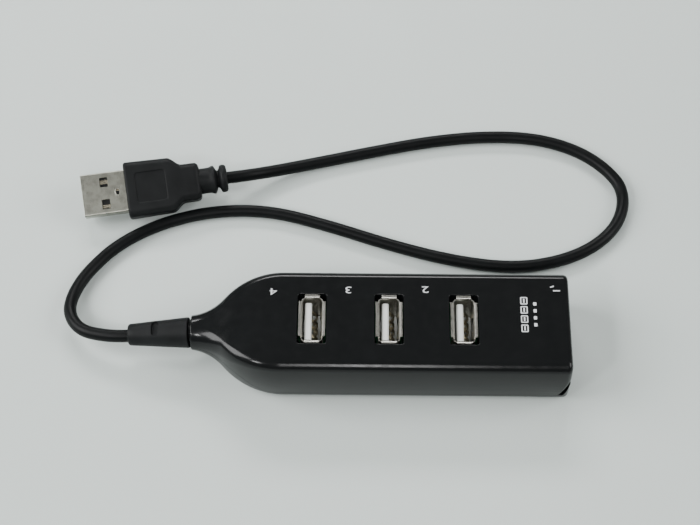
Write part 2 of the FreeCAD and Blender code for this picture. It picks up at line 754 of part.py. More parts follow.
def new_sketch(body, name, role="XY_Plane"):
    sketch = body.newObject("Sketcher::SketchObject", name)
    sketch.AttachmentSupport = [(plane_of(body, role), "")]
    sketch.MapMode = "FlatFace"
    return sketch


def centred_rectangle(sketch, length, width, length_cell, width_cell):
    """A rectangle centred on the sketch's origin, with its two sizes bound."""
    corners = [Vector(-length / 2, -width / 2, 0), Vector(length / 2, -width / 2, 0),
               Vector(length / 2, width / 2, 0), Vector(-length / 2, width / 2, 0)]
    lines = []
    for index in range(4):
        line = Part.LineSegment(corners[index], corners[(index + 1) % 4])
        lines.append(sketch.addGeometry(line, False))
    for index in range(4):
        sketch.addConstraint(Sketcher.Constraint("Coincident", lines[index], 2,
                                                 lines[(index + 1) % 4], 1))
    for index, direction in enumerate(("Horizontal", "Vertical", "Horizontal", "Vertical")):
        sketch.addConstraint(Sketcher.Constraint(direction, lines[index]))
    sketch.addConstraint(Sketcher.Constraint("Symmetric", lines[0], 1, lines[2], 1, -1, 1))
    along = sketch.addConstraint(Sketcher.Constraint("DistanceX", lines[0], 1, lines[0], 2, length))
    across = sketch.addConstraint(Sketcher.Constraint("DistanceY", lines[1], 1, lines[1], 2, width))
    sketch.renameConstraint(along, "along")
    sketch.renameConstraint(across, "across")
    sketch.setExpression("Constraints.along", length_cell)
    sketch.setExpression("Constraints.across", width_cell)


def pad(body, sketch, name, length_cell):
    feature_pad = body.newObject("PartDesign::Pad", name)
    feature_pad.Profile = sketch
    feature_pad.setExpression("Length", length_cell)
    return feature_pad


def make_board():
    """Board with holes for the screws, the contact tails and the shell legs."""
    middle_x = size("board_end_x") - size("board_length") / 2
    body = doc.addObject("PartDesign::Body", "board_body")
    outline = new_sketch(body, "board_outline")
    centred_rectangle(outline, size("board_length"), size("board_width"),
                      cell("board_length"), cell("board_width"))
    pad(body, outline, "board_pad", cell("board_thickness"))
    doc.recompute()
    solid_volume = body.Shape.Volume

    holes = new_sketch(body, "board_holes")
    screw_hole = size("screw_diameter") / 2 + 0.2
    for x_alias in ("neck_screw_x", "end_screw_x"):
        centre = Vector(size(x_alias) - middle_x, 0, 0)
        holes.addGeometry(Part.Circle(centre, Z_AXIS, screw_hole), False)
    tail_hole = 0.45
    slot_half_x, slot_half_y = 1.15, 0.4
    leg_y = (size("opening_long") + size("sheet_metal")) / 2
    for number in (1, 2, 3, 4):
        place = socket_placement(number)
        if number == 1:
            tail_x = place.Base.x - size("end_socket_depth") + TAIL_BEND + TAIL_THICKNESS / 2
            leg_x = place.Base.x - LEG_BACK
        else:
            tail_x = place.Base.x + TAIL_U + TAIL_THICKNESS / 2
            leg_x = place.Base.x
        for y in PIN_PITCHES:
            holes.addGeometry(Part.Circle(Vector(tail_x - middle_x, y, 0), Z_AXIS, tail_hole), False)
        for side in (-1, 1):
            low_x = leg_x - middle_x - slot_half_x
            high_x = leg_x - middle_x + slot_half_x
            low_y = side * leg_y - slot_half_y
            high_y = side * leg_y + slot_half_y
            ring = [Vector(low_x, low_y, 0), Vector(high_x, low_y, 0),
                    Vector(high_x, high_y, 0), Vector(low_x, high_y, 0)]
            for index in range(4):
                holes.addGeometry(Part.LineSegment(ring[index], ring[(index + 1) % 4]), False)
    pocket = body.newObject("PartDesign::Pocket", "board_pocket")
    pocket.Profile = holes
    pocket.Type = "ThroughAll"
    pocket.Reversed = True
    doc.recompute()
    if body.Shape.Volume > solid_volume - 1:
        raise RuntimeError("the board's holes were not cut")
    body.Placement = Placement(Vector(middle_x, 0, size("board_bottom")), Rotation())
    keep(body, "circuit_board")


def make_controller():
    """A flat package with gull-wing leads along both long sides."""
    middle = Vector(-8.0, -4.6, board_top)
    standing = 0.15
    package = box("controller_package", cell("chip_length"), cell("chip_width"),
                  cell("chip_height") + " - %.2f" % standing,
                  middle + Vector(-size("chip_length") / 2, -size("chip_width") / 2, standing))
    pieces = [package]
    lead_pitch, lead_width, lead_count = 1.27, 0.42, 8
    for side in (-1, 1):
        for index in range(lead_count):
            x = middle.x + (index - (lead_count - 1) / 2) * lead_pitch - lead_width / 2
            shoulder_y = middle.y + side * size("chip_width") / 2
            foot_y = shoulder_y + side * 0.55
            tag = "_%d_%d" % (side + 1, index)
            pieces.append(box("lead_arm" + tag, lead_width, 0.75, 0.2,
                              Vector(x, min(shoulder_y - side * 0.1, foot_y + side * 0.1),
                                     middle.z + 0.6)))
            pieces.append(box("lead_leg" + tag, lead_width, 0.2, 0.8,
                              Vector(x, foot_y - 0.1, middle.z)))
            pieces.append(box("lead_foot" + tag, lead_width, 0.6, 0.2,
                              Vector(x, min(foot_y, foot_y + side * 0.6), middle.z)))
    keep(fuse("controller", pieces), "hub_controller")


def make_crystal():
    """The can of a quartz crystal, with round ends."""
    body = doc.addObject("PartDesign::Body", "crystal_body")
    outline = new_sketch(body, "crystal_outline")
    half_run = (size("crystal_length") - size("crystal_width")) / 2
    radius = size("crystal_width") / 2
    outline.addGeometry(Part.LineSegment(Vector(-half_run, -radius, 0), Vector(half_run, -radius, 0)))
    outline.addGeometry(Part.ArcOfCircle(Part.Circle(Vector(half_run, 0, 0), Z_AXIS, radius),
                                         -math.pi / 2, math.pi / 2))
    outline.addGeometry(Part.LineSegment(Vector(half_run, radius, 0), Vector(-half_run, radius, 0)))
    outline.addGeometry(Part.ArcOfCircle(Part.Circle(Vector(-half_run, 0, 0), Z_AXIS, radius),
                                         math.pi / 2, 3 * math.pi / 2))
    for index, (first, second) in enumerate((((0, 2), (1, 1)), ((1, 2), (2, 1)),
                                             ((2, 2), (3, 1)), ((3, 2), (0, 1)))):
        outline.addConstraint(Sketcher.Constraint("Coincident", first[0], first[1],
                                                  second[0], second[1]))
    across = outline.addConstraint(Sketcher.Constraint("Radius", 1, radius))
    outline.renameConstraint(across, "end_radius")
    outline.setExpression("Constraints.end_radius", cell("crystal_width") + " / 2")
    pad(body, outline, "crystal_pad", cell("crystal_height"))
    doc.recompute()
    rounding = body.newObject("PartDesign::Fillet", "crystal_rounding")
    top_edges = []
    for index, edge in enumerate(body.Shape.Edges, start=1):
        if edge.BoundBox.ZMin > size("crystal_height") - 1e-6:
            top_edges.append("Edge%d" % index)
    rounding.Base = (doc.getObject("crystal_pad"), top_edges)
    rounding.Radius = 0.5
    doc.recompute()
    body.Placement = Placement(Vector(-8.0, 4.6, board_top), Rotation())
    keep(body, "crystal_can")


def make_capacitors():
    """Two standing electrolytic cans with a crimped waist."""
    cans = []
    for index, (x, y) in enumerate(((32.2, 8.2), (32.2, -8.2))):
        foot = Vector(x, y, board_top)
        can = cylinder("can_%d" % index, cell("capacitor_diameter") + " / 2",
                       cell("capacitor_height"), foot)
        ring = doc.addObject("Part::Torus", "can_crimp_%d" % index)
        bind(ring, Radius1=cell("capacitor_diameter") + " / 2 + 0.15", Radius2=0.35)
        ring.Placement = Placement(foot + Vector(0, 0, 1.2), Rotation())
        cans.append(cut("capacitor_%d" % index, can, ring))
    keep(group("capacitor_pair", cans), "filter_capacitors")


def make_resistors():
    """Chip resistors beside the sockets."""
    chips = []
    for index, (x, y) in enumerate(((-25.0, 9.0), (-25.0, 6.5), (-25.0, -6.5), (-25.0, -9.0),
                                    (12.4, 6.0), (12.4, 3.6), (12.4, -3.6), (12.4, -6.0))):
        chips.append(box("chip_%d" % index, 2.0, 1.25, 0.55, Vector(x - 1.0, y - 0.62, board_top)))
    keep(group("chip_group", chips), "chip_resistors")


# ---------------------------------------------------------------- cord and wires

# The cord's route: out of the neck, through the drooping strain relief, down to
# the surface in a tight turn, along behind the housing, round a wide loop past
# the end socket and back up into the plug, which leans on one edge.
CORD_ROUTE = [
    Vector(-42.5, 0.0, 8.7),
    Vector(-53.5, 0.0, 8.7),
    Vector(-67.0, -0.5, 7.2),
    Vector(-74.5, 0.1, 6.2),
    Vector(-81.6, 2.4, 5.0),
    Vector(-85.3, 8.3, 3.8),
    Vector(-84.8, 14.8, 2.8),
    Vector(-81.5, 22.5, 2.0),
    Vector(-73.5, 32.0, 1.8),
    Vector(-61.0, 39.3, 1.8),
    Vector(-46.5, 43.2, 1.8),
    Vector(-31.0, 43.3, 1.8),
    Vector(-14.5, 38.5, 1.8),
    Vector(3.0, 32.2, 1.8),
    Vector(20.5, 27.2, 1.8),
    Vector(37.5, 24.9, 1.8),
    Vector(51.5, 27.4, 1.8),
    Vector(62.0, 32.9, 1.8),
    Vector(68.8, 41.0, 1.8),
    Vector(70.5, 51.0, 1.8),
    Vector(66.0, 58.5, 1.8),
    Vector(57.5, 65.2, 1.8),
    Vector(45.5, 69.2, 1.8),
    Vector(31.0, 69.7, 1.8),
    Vector(15.0, 67.8, 1.8),
    Vector(-2.0, 63.9, 1.8),
    Vector(-19.0, 59.6, 1.9),
    Vector(-31.5, 55.6, 3.4),
    Vector(-40.5, 51.9, 6.4),
    Vector(-48.0, 50.7, 6.45),
]

PLUG_BURIED = 6.0         # plug shell inside the overmould
PLUG_ORIGIN = Vector(-72.0, 46.5, 6.45)


def plug_placement():
    """From the plug's frame, whose origin is in the middle of the overmould's face."""
    heading = Rotation(Z_AXIS, size("plug_yaw"))
    roll = Rotation(X_AXIS, size("plug_roll"))
    return Placement(PLUG_ORIGIN, heading.multiply(roll))


def make_boot(cord):
    """Tapered strain relief with a flange held behind the neck's collar."""
    droop = Rotation(Y_AXIS, -size("boot_droop"))
    outward = droop.multVec(Vector(-1, 0, 0))
    start = Vector(neck_x - size("boot_gap"), 0, mid_z)
    chamfer = 0.6
    large, small = size("boot_large") / 2, size("boot_small") / 2
    taper = Part.makeCone(large, small, size("boot_length") - chamfer, start, outward)
    tail = Part.makeCone(small, small - 0.4, chamfer,
                         start + outward * (size("boot_length") - chamfer), outward)
    overlap = 0.6
    waist_length = size("boot_gap") + size("neck_collar") + 2 * overlap
    waist = Part.makeCylinder(size("neck_bore") / 2 - 0.05, waist_length,
                              start - X_AXIS * overlap, X_AXIS)
    flange = Part.makeCylinder(size("boot_flange") / 2, 1.4,
                               Vector(neck_x + size("neck_collar") + 0.1, 0, mid_z), X_AXIS)
    boot = taper.fuse(tail).fuse(waist).fuse(flange)
    half_long, half_wide = size("boot_slot_long") / 2, size("boot_slot_wide") / 2
    slot_floor = size("cord_diameter") / 2 + 0.6
    for turn in (0, 180):
        slot = solid_box(-half_long, half_long, -half_wide, half_wide, slot_floor, large + 1)
        slot.rotate(Vector(), X_AXIS, turn)
        slot.rotate(Vector(), Y_AXIS, -size("boot_droop"))
        slot.translate(start + outward * size("boot_slot_place"))
        boot = boot.cut(slot)
    feature("cord_boot", boot.cut(cord).removeSplitter())


def make_wires():
    """Four insulated wires from the end of the cord to the board's front edge."""
    start_x, pad_x = CORD_ROUTE[0].x, -30.9
    radius = size("wire_diameter") / 2
    spread = 0.7
    wires = (("wire_red", 6.9, spread), ("wire_green", 4.2, -spread),
             ("wire_white", -4.2, -spread), ("wire_black", -6.9, spread))
    for name, pad_y, lift in wires:
        begin_y = math.copysign(spread, pad_y)
        begin_z = mid_z + lift
        route = [
            Vector(start_x, begin_y, begin_z),
            Vector(start_x + 2.6, begin_y, begin_z),
            Vector(start_x + 6.4, 0.62 * pad_y, begin_z - 0.5),
            Vector(pad_x - 2.2, pad_y, board_top + radius + 0.9),
            Vector(pad_x + 0.9, pad_y, board_top + radius + 0.02),
        ]
        feature(name, tube(name, route, size("wire_diameter")))


def plug_metal(half_width, half_height):
    """The plug's shell: a folded tube with two latch holes on each wide side."""
    sheet_metal = size("sheet_metal")
    front = -size("plug_reach")
    run = Vector(size("plug_reach") + PLUG_BURIED, 0, 0)
    corner = size("plug_corner")
    outer = Part.Face(rounded_rectangle(half_width, half_height, corner,
                                        lambda a, b: Vector(front, a, b)))
    inner = Part.Face(rounded_rectangle(half_width - sheet_metal, half_height - sheet_metal,
                                        corner - sheet_metal, lambda a, b: Vector(front, a, b)))
    metal = outer.extrude(run).cut(inner.extrude(run))
    hole_x = -size("latch_place")
    half_long, half_wide = size("latch_long") / 2, size("latch_wide") / 2
    for y in (-size("latch_pitch") / 2, size("latch_pitch") / 2):
        metal = metal.cut(solid_box(hole_x - half_long, hole_x + half_long, y - half_wide, y + half_wide,
                                    -half_height - 1, half_height + 1))
    return metal


def plug_filling(half_width, half_height):
    """The insulator in the lower half of the plug, and its four contact strips."""
    play = 0.04
    low = -half_height + size("sheet_metal") + play
    inside = half_width - size("sheet_metal") - play
    top, corner = -0.05, 0.3
    front = -size("plug_reach") + 0.4
    outline = [Vector(front, -inside, top), Vector(front, -inside, low + corner),
               Vector(front, -inside + corner, low), Vector(front, inside - corner, low),
               Vector(front, inside, low + corner), Vector(front, inside, top)]
    filling = Part.Face(Part.makePolygon(outline + [outline[0]]))
    filling = filling.extrude(Vector(PLUG_BURIED - front, 0, 0))
    strips = []
    for y, set_back in zip(PIN_PITCHES, (1.1, 2.1, 2.1, 1.1)):
        strip = solid_box(-size("plug_reach") + set_back, PLUG_BURIED, y - 0.5, y + 0.5, -0.3, -0.02)
        filling = filling.cut(strip)
        strips.append(strip)
    return filling, strips


def grip_outline():
    """Half of the overmould's plan: distance behind its face, and half width."""
    half_grip, half_waist = size("grip_width") / 2, size("grip_waist") / 2
    length, edge = size("grip_length"), 0.7
    shoulder = half_grip - size("grip_taper")
    return [(0, half_grip - edge), (edge, half_grip), (12.8, shoulder), (13.7, shoulder - 0.5),
            (14.8, half_waist + 1.0), (15.7, half_waist + 0.4), (17.0, half_waist),
            (length - 1.4, half_waist), (length - 0.5, half_waist - 0.5), (length, half_waist - 1.4)]


def plug_grip(half_width, half_height):
    """The overmould: a flat grip with shoulders, and two ribs behind it."""
    half_grip, half_thick = size("grip_width") / 2, size("grip_height") / 2
    length = size("grip_length")
    side = grip_outline()
    ring = [Vector(x, y, -half_grip) for x, y in side]
    ring += [Vector(x, -y, -half_grip) for x, y in reversed(side)]
    plan = Part.Face(Part.makePolygon(ring + [ring[0]])).extrude(Vector(0, 0, 2 * half_grip))
    section = Part.Face(rounded_rectangle(half_grip, half_thick, 1.8, lambda a, b: Vector(0, a, b)))
    grip = plan.common(section.extrude(Vector(length, 0, 0)))

    rib = size("rib_diameter") / 2
    neck = Part.makeCylinder(rib - 0.4, 3.4, Vector(length - 0.5, 0, 0), X_AXIS)
    first_rib = Part.makeCone(rib - 0.7, rib, 2.0, Vector(length + 2.6, 0, 0), X_AXIS)
    gap_core = Part.makeCylinder(rib - 1.5, 1.4, Vector(length + 4.5, 0, 0), X_AXIS)
    last_rib = Part.makeCone(rib, rib - 0.5, 2.2, Vector(length + 5.5, 0, 0), X_AXIS)
    for piece in (neck, first_rib, gap_core, last_rib):
        grip = grip.fuse(piece)

    grip = grip.cut(solid_box(-1, PLUG_BURIED, -half_width, half_width, -half_height, half_height))
    half_panel = size("panel_width") / 2
    panel = solid_box(size("panel_start"), size("panel_start") + size("panel_width"),
                      -half_panel, half_panel, half_thick - size("panel_depth"), half_thick + 1)
    return grip.cut(panel)


def make_plug(cord):
    """Plug shell, insulator, contacts and overmould, leaning on one edge."""
    place = plug_placement()
    half_width, half_height = size("plug_width") / 2, size("plug_height") / 2
    feature("plug_shell", plug_metal(half_width, half_height), place)
    filling, strips = plug_filling(half_width, half_height)
    feature("plug_insulator", filling, place)
    feature("plug_contacts", Part.makeCompound(strips), place)
    local_cord = cord.copy()
    local_cord.Placement = place.inverse().multiply(local_cord.Placement)
    grip = plug_grip(half_width, half_height).cut(local_cord)
    feature("plug_overmould", grip.removeSplitter(), place)


# ---------------------------------------------------------------- assembly

make_housings()
make_screws()
make_sockets()
make_board()
make_controller()
make_crystal()
make_capacitors()
make_resistors()
cord_solid = tube("hub_cord", CORD_ROUTE, size("cord_diameter"))
feature("hub_cord", cord_solid)
make_boot(cord_solid)
make_wires()
make_plug(cord_solid)

doc.recompute()
for obj in doc.Objects:
    if "Invalid" in obj.State or "Error" in obj.State:
        raise RuntimeError(obj.Name + " did not recompute")
for node in NODES:
    if node.Shape.isNull() or not node.Shape.isValid():
        raise RuntimeError(node.Label + " has no valid shape")
    node.Shape.exportStep("parts/%s.step" % node.Label)
    limits = node.Shape.BoundBox
    print("%-24s solids %d volume %.2f  x %.2f %.2f  y %.2f %.2f  z %.2f %.2f" % (
        node.Label, len(node.Shape.Solids), node.Shape.Volume, limits.XMin, limits.XMax,
        limits.YMin, limits.YMax, limits.ZMin, limits.ZMax))
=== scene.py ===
import json
import math

import bmesh
import bpy
from mathutils import Matrix, Vector


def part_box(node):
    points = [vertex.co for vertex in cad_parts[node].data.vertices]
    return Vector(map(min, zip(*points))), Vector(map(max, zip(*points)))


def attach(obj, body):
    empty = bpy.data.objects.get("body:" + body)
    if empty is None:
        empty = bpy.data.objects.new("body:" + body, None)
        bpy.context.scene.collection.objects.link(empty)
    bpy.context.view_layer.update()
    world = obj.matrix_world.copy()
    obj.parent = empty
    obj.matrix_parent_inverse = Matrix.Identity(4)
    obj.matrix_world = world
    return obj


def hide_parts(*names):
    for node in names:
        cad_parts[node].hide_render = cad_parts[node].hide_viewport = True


# A slim hub with four sockets and a captive cord, on a pale table.
# Sizes are in millimetres and become metres through MM.

MM = 0.001
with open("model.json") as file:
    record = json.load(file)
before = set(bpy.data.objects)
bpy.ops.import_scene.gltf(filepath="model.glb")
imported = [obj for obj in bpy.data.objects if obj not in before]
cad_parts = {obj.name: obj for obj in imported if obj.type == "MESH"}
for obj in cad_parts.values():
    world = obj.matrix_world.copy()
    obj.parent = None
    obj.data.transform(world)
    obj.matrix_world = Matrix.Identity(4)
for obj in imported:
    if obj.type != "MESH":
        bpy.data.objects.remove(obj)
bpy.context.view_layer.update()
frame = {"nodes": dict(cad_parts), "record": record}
scene = bpy.context.scene


# ---------------------------------------------------------------- camera

CAMERA_TARGET = Vector((-8.17, 27.46, 0.0)) * MM
CAMERA_DISTANCE = 479.45 * MM
CAMERA_ELEVATION = math.radians(59.5)
CAMERA_TURN = math.radians(0.70)
CAMERA_ROLL = math.radians(0.11)
SENSOR = 36.0
FOCAL_IN_WIDTHS = 1700 / 700


def make_camera():
    data = bpy.data.cameras.new("camera")
    data.sensor_width = SENSOR
    data.lens = SENSOR * FOCAL_IN_WIDTHS
    data.clip_start = 0.01
    data.clip_end = 20.0
    camera = bpy.data.objects.new("camera", data)
    scene.collection.objects.link(camera)
    flat = math.cos(CAMERA_ELEVATION)
    back = Vector((math.sin(CAMERA_TURN) * flat, -math.cos(CAMERA_TURN) * flat,
                   math.sin(CAMERA_ELEVATION)))
    right = Vector((math.cos(CAMERA_TURN), math.sin(CAMERA_TURN), 0.0))
    up = back.cross(right)
    turn = Matrix((right, up, back)).transposed() @ Matrix.Rotation(-CAMERA_ROLL, 3, "Z")
    camera.matrix_world = Matrix.Translation(CAMERA_TARGET + back * CAMERA_DISTANCE) @ turn.to_4x4()
    scene.camera = camera


make_camera()


# ---------------------------------------------------------------- cord

CORD_DIAMETER = 3.5
# Out of the neck, through the drooping strain relief, down to the table in a tight
# turn, along behind the housing, round a wide loop and back up into the plug.
CORD_ROUTE = [
    (-42.5, 0.0, 8.7), (-53.5, 0.0, 8.7), (-67.0, -0.5, 7.2), (-74.5, 0.1, 6.2),
    (-81.6, 2.4, 5.0), (-85.3, 8.3, 3.8), (-84.8, 14.8, 2.8), (-81.5, 22.5, 2.0),
    (-73.5, 32.0, 1.8), (-61.0, 39.3, 1.8), (-46.5, 43.2, 1.8), (-31.0, 43.3, 1.8),
    (-14.5, 38.5, 1.8), (3.0, 32.2, 1.8), (20.5, 27.2, 1.8), (37.5, 24.9, 1.8),
    (51.5, 27.4, 1.8), (62.0, 32.9, 1.8), (68.8, 41.0, 1.8), (70.5, 51.0, 1.8),
    (66.0, 58.5, 1.8), (57.5, 65.2, 1.8), (45.5, 69.2, 1.8), (31.0, 69.7, 1.8),
    (15.0, 67.8, 1.8), (-2.0, 63.9, 1.8), (-19.0, 59.6, 1.9), (-31.5, 55.6, 3.4),
    (-40.5, 51.9, 6.4), (-48.0, 50.7, 6.45),
]


def make_cord():
    data = bpy.data.curves.new("cord", "CURVE")
    data.dimensions = "3D"
    data.bevel_depth = CORD_DIAMETER / 2 * MM
    data.bevel_resolution = 7
    data.resolution_u = 24
    data.use_fill_caps = True
    spline = data.splines.new("NURBS")
    spline.points.add(len(CORD_ROUTE) - 1)
    for point, place in zip(spline.points, CORD_ROUTE):
        point.co = (*(Vector(place) * MM), 1.0)
    spline.order_u = 3
    spline.use_endpoint_u = True
    cord = bpy.data.objects.new("cord", data)
    scene.collection.objects.link(cord)
    return cord


cord = make_cord()


# ---------------------------------------------------------------- materials

class Nodes:
    """Short names for building one material's node tree."""

    def __init__(self, name):
        self.material = bpy.data.materials.new(name)
        self.material.use_nodes = True
        self.tree = self.material.node_tree
        self.shader = self.tree.nodes["Principled BSDF"]
        self.place = self.new("ShaderNodeTexCoord").outputs["Object"]

    def new(self, kind, **settings):
        node = self.tree.nodes.new(kind)
        for key, value in settings.items():
            setattr(node, key, value)
        return node

    def link(self, output, target):
        self.tree.links.new(output, target)

    def stretched(self, scale):
        """Object coordinates in millimetres, scaled along each axis."""
        node = self.new("ShaderNodeMapping")
        node.inputs["Scale"].default_value = [value / MM for value in scale]
        self.link(self.place, node.inputs["Vector"])
        return node.outputs["Vector"]

    def noise(self, scale=(1, 1, 1), detail=3.0, roughness=0.5):
        node = self.new("ShaderNodeTexNoise")
        node.inputs["Scale"].default_value = 1.0
        node.inputs["Detail"].default_value = detail
        node.inputs["Roughness"].default_value = roughness
        self.link(self.stretched(scale), node.inputs["Vector"])
        return node.outputs["Fac"]

    def ramp(self, value, stops):
        """Maps a value to colours or greys through (position, colour) stops."""
        node = self.new("ShaderNodeValToRGB")
        elements = node.color_ramp.elements
        while len(elements) < len(stops):
            elements.new(0.5)
        for element, (position, colour) in zip(elements, stops):
            element.position = position
            if isinstance(colour, (int, float)):
                colour = (colour,) * 3
            element.color = (*colour, 1.0)
        self.link(value, node.inputs["Fac"])
        return node.outputs["Color"]

    def blend(self, factor, first, second):
        """Mixes two colours by a factor from 0 to 1."""
        node = self.new("ShaderNodeMix", data_type="RGBA", blend_type="MIX")
        self.link(factor, node.inputs["Factor"])
        for name, colour in (("A", first), ("B", second)):
            socket = [item for item in node.inputs if item.name == name and item.type == "RGBA"][0]
            self.link(colour, socket)
        return [item for item in node.outputs if item.type == "RGBA"][0]

    def bump(self, height, strength, distance, before=None):
        node = self.new("ShaderNodeBump")
        node.inputs["Strength"].default_value = strength
        node.inputs["Distance"].default_value = distance * MM
        self.link(height, node.inputs["Height"])
        if before is not None:
            self.link(before, node.inputs["Normal"])
        return node.outputs["Normal"]

    def finish(self, colour, roughness, normal=None, **constants):
        self.link(colour, self.shader.inputs["Base Color"])
        self.link(roughness, self.shader.inputs["Roughness"])
        if normal is not None:
            self.link(normal, self.shader.inputs["Normal"])
        for name, value in constants.items():
            self.shader.inputs[name.replace("_", " ")].default_value = value
        return self.material


def tinted(colour, factor):
    return tuple(channel * factor for channel in colour)


def plastic(name, colour, roughness, grain, grain_depth, spread=0.25, streaks=None, **constants):
    """Moulded plastic: cloudy colour, patchy gloss and a fine surface grain."""
    nodes = Nodes(name)
    clouds = nodes.noise((0.12, 0.12, 0.12), 4.0)
    base = nodes.ramp(clouds, [(0.3, tinted(colour, 1 - spread)), (0.7, tinted(colour, 1 + spread))])
    patches = nodes.noise((0.35, 0.35, 0.35), 6.0, 0.6)
    gloss = nodes.ramp(patches, [(0.35, roughness - 0.04), (0.65, roughness + 0.05)])
    height = nodes.noise((grain,) * 3, 3.0, 0.6)
    normal = nodes.bump(height, 0.6, grain_depth)
    if streaks is not None:
        normal = nodes.bump(nodes.noise(streaks, 2.0), 0.25, grain_depth, normal)
    return nodes.finish(base, gloss, normal, **constants)


def metal(name, colour, roughness, brushed, spread=0.08):
    """Plated sheet: fine brush lines, dull patches and small stains."""
    nodes = Nodes(name)
    lines = nodes.noise(brushed, 4.0, 0.65)
    stains = nodes.noise((0.5, 0.5, 0.5), 5.0, 0.6)
    base = nodes.ramp(stains, [(0.3, tinted(colour, 1 - 2 * spread)), (0.62, colour)])
    base = nodes.blend(lines, base, nodes.ramp(stains, [(0.3, tinted(colour, 1 - spread)),
                                                        (0.6, tinted(colour, 1 + spread))]))
    gloss = nodes.ramp(lines, [(0.3, roughness - 0.06), (0.7, roughness + 0.08)])
    normal = nodes.bump(lines, 0.35, 0.01)
    return nodes.finish(base, gloss, normal, Metallic=1.0)


MATERIALS = {
    "black_gloss": plastic("black_gloss", (0.007, 0.0076, 0.0079), 0.17, 2.2, 0.003, spread=0.08,
                           streaks=(0.05, 1.6, 1.6), IOR=1.32),
    "black_matt": plastic("black_matt", (0.0095, 0.0103, 0.0107), 0.5, 5.5, 0.03,
                          IOR=1.22),
    "cord_black": plastic("cord_black", (0.004, 0.0046, 0.0048), 0.42, 3.5, 0.015,
                          IOR=1.22),
    "nickel": metal("nickel", (0.45, 0.44, 0.40), 0.30, (6.0, 0.5, 0.5)),
    "plug_nickel": metal("plug_nickel", (0.36, 0.36, 0.31), 0.33, (5.0, 0.6, 0.6), spread=0.16),
    "insulator_white": plastic("insulator_white", (0.74, 0.755, 0.73), 0.42, 3.0, 0.006, spread=0.03),
    "contact_gold": metal("contact_gold", (0.66, 0.60, 0.46), 0.26, (0.4, 5.0, 5.0)),
    "board_green": plastic("board_green", (0.02, 0.12, 0.05), 0.35, 2.0, 0.01),
    "chip_black": plastic("chip_black", (0.02, 0.02, 0.02), 0.5, 6.0, 0.01),
    "steel": metal("steel", (0.56, 0.56, 0.56), 0.24, (3.0, 3.0, 0.4)),
    "can_aluminium": metal("can_aluminium", (0.7, 0.7, 0.71), 0.3, (0.4, 0.4, 5.0)),
    "print_white": plastic("print_white", (0.62, 0.64, 0.65), 0.5, 6.0, 0.004, spread=0.12),
    "wire_red": plastic("wire_red", (0.5, 0.02, 0.02), 0.4, 3.0, 0.005),
    "wire_white": plastic("wire_white", (0.72, 0.72, 0.7), 0.4, 3.0, 0.005, spread=0.03),
    "wire_green": plastic("wire_green", (0.02, 0.26, 0.07), 0.4, 3.0, 0.005),
    "wire_black": plastic("wire_black", (0.015, 0.015, 0.015), 0.4, 3.0, 0.005),
}


def dress(obj, slot):
    """Gives a piece or a CAD node its one material."""
    obj.data.materials.clear()
    obj.data.materials.append(MATERIALS[slot])


for part in frame["record"]["subparts"]:
    dress(frame["nodes"][part["node"]], part["material_slot"])

dress(cord, "cord_black")
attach(cord, "hub")
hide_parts("hub_cord")


# ---------------------------------------------------------------- mesh helpers
#
# Pieces are built in millimetres and brought to metres by settle().


def solid_mesh(rings, looped=False):
    """A closed mesh skinned over rings with equal numbers of points."""
    bm = bmesh.new()
    loops = [[bm.verts.new(Vector(point)) for point in ring] for ring in rings]
    pairs = list(zip(loops, loops[1:]))
    if looped:
        pairs.append((loops[-1], loops[0]))
    else:
        bm.faces.new(loops[0])
        bm.faces.new(loops[-1])
    for first, second in pairs:
        for index in range(len(first)):
            after = (index + 1) % len(first)
            bm.faces.new((first[index], first[after], second[after], second[index]))
    bmesh.ops.recalc_face_normals(bm, faces=bm.faces)
    mesh = bpy.data.meshes.new("solid")
    bm.to_mesh(mesh)
    bm.free()
    return mesh


def shape(name, mesh):
    obj = bpy.data.objects.new(name, mesh)
    scene.collection.objects.link(obj)
    return obj


def solid(rings, looped=False):
    """A scratch object, for adding to or cutting from a piece."""
    return shape("scratch", solid_mesh(rings, looped))


def bake(obj):
    """Applies an object's modifiers to its mesh."""
    seen = obj.evaluated_get(bpy.context.evaluated_depsgraph_get())
    mesh = bpy.data.meshes.new_from_object(seen)
    obj.modifiers.clear()
    obj.data = mesh


def combine(obj, other, operation):
    """Boolean with a scratch object, which is then removed."""
    modifier = obj.modifiers.new("combine", "BOOLEAN")
    modifier.object = other
    modifier.operation = operation
    modifier.solver = "EXACT"
    bake(obj)
    bpy.data.objects.remove(other)
    return obj


def bevel(obj, width):
    """Rounds every edge that turns by more than 35 degrees."""
    modifier = obj.modifiers.new("bevel", "BEVEL")
    modifier.width = width
    modifier.segments = 2
    modifier.limit_method = "ANGLE"
    modifier.angle_limit = math.radians(35)
    modifier.harden_normals = False
    bake(obj)


def settle(obj, name, slot, node=None, sharp=32.0, placement=Matrix.Identity(4)):
    """Names a finished piece, brings it to metres and gives it its material and body."""
    mesh = obj.data
    mesh.transform(Matrix.Scale(MM, 4) @ placement)
    mesh.shade_smooth()
    mesh.set_sharp_from_angle(angle=math.radians(sharp))
    weigh = obj.modifiers.new("normals", "WEIGHTED_NORMAL")
    weigh.keep_sharp = True
    weigh.mode = "FACE_AREA"
    bake(obj)
    obj.name = name
    obj.data.name = name
    dress(obj, slot)
    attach(obj, "hub")
    if node is not None:
        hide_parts(node)
    return obj


def rounded(half_a, half_b, radius, steps=8):
    """Corner-rounded rectangle as (a, b) pairs."""
    points = []
    for index, (sign_a, sign_b) in enumerate(((1, 1), (-1, 1), (-1, -1), (1, -1))):
        for step in range(steps + 1):
            angle = math.radians(90) * (index + step / steps)
            points.append((sign_a * (half_a - radius) + radius * math.cos(angle),
                           sign_b * (half_b - radius) + radius * math.sin(angle)))
    return points


